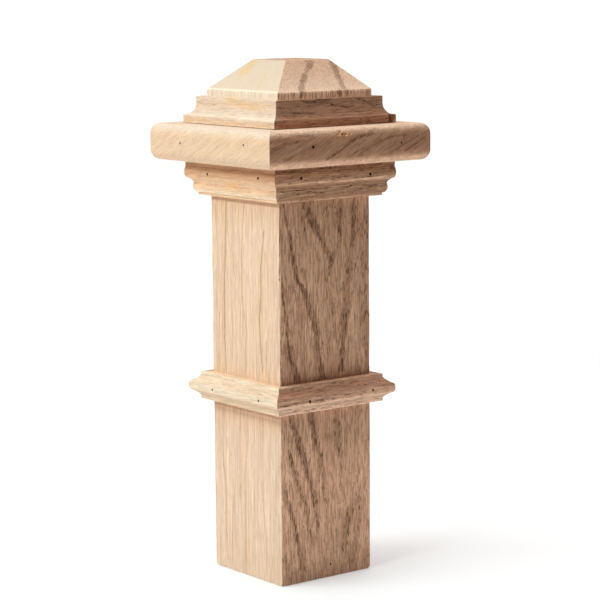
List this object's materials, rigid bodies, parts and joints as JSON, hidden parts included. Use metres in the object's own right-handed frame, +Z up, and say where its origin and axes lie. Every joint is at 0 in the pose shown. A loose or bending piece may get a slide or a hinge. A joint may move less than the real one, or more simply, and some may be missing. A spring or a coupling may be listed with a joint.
{
  "type": "newel post",
  "caption": "Square oak newel post with a bevelled head, a round-edged collar between mitred mouldings, and a moulded band half way up.",
  "frame": {"origin": "middle of the post's foot, on the surface it stands on", "axes": "+Z up the post to its head; -Y is the front face and -X the left face, the two faces that the picture shows"},
  "size_m": [0.1562, 0.1562, 0.405],
  "materials": {
    "post_oak": "bare sanded red oak",
    "moulding_oak": "bare sanded red oak",
    "collar_oak": "bare sanded red oak"
  },
  "bodies": {
    "root": {"post": "post_oak", "band_front": "moulding_oak", "band_right": "moulding_oak", "band_back": "moulding_oak", "band_left": "moulding_oak", "bed_front": "moulding_oak", "bed_right": "moulding_oak", "bed_back": "moulding_oak", "bed_left": "moulding_oak", "collar_front": "collar_oak", "collar_right": "collar_oak", "collar_back": "collar_oak", "collar_left": "collar_oak", "cove_front": "moulding_oak", "cove_right": "moulding_oak", "cove_back": "moulding_oak", "cove_left": "moulding_oak"}
  },
  "joints": []
}
